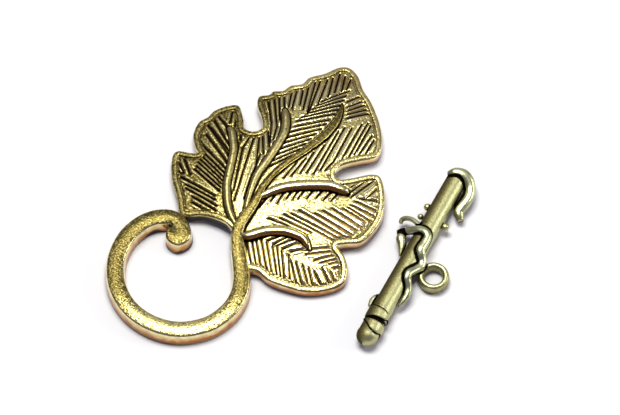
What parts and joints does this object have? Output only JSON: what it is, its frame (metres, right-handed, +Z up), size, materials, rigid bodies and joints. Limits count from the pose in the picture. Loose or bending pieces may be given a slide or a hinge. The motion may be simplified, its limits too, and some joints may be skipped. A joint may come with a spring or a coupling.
{
  "type": "toggle clasp",
  "caption": "Antique gold toggle clasp: a vine leaf cast in one with its hooked ring, lying beside its loose vine bar with a side eye.",
  "frame": {"origin": "middle of the ring's opening, on the surface that the clasp lies on", "axes": "+Z up from that surface, +Y from the ring towards the leaf's tip, +X towards the bar that lies beside the leaf"},
  "size_m": [0.0392, 0.0466, 0.0036],
  "materials": {
    "leaf_metal": "antique gold plating, sandy matte with polished edges and black patina in the grooves",
    "bar_metal": "antique gold plating, sandy matte with olive patina between the cords"
  },
  "bodies": {
    "root": {"leaf_loop": "leaf_metal", "toggle_bar": "bar_metal"}
  },
  "joints": []
}
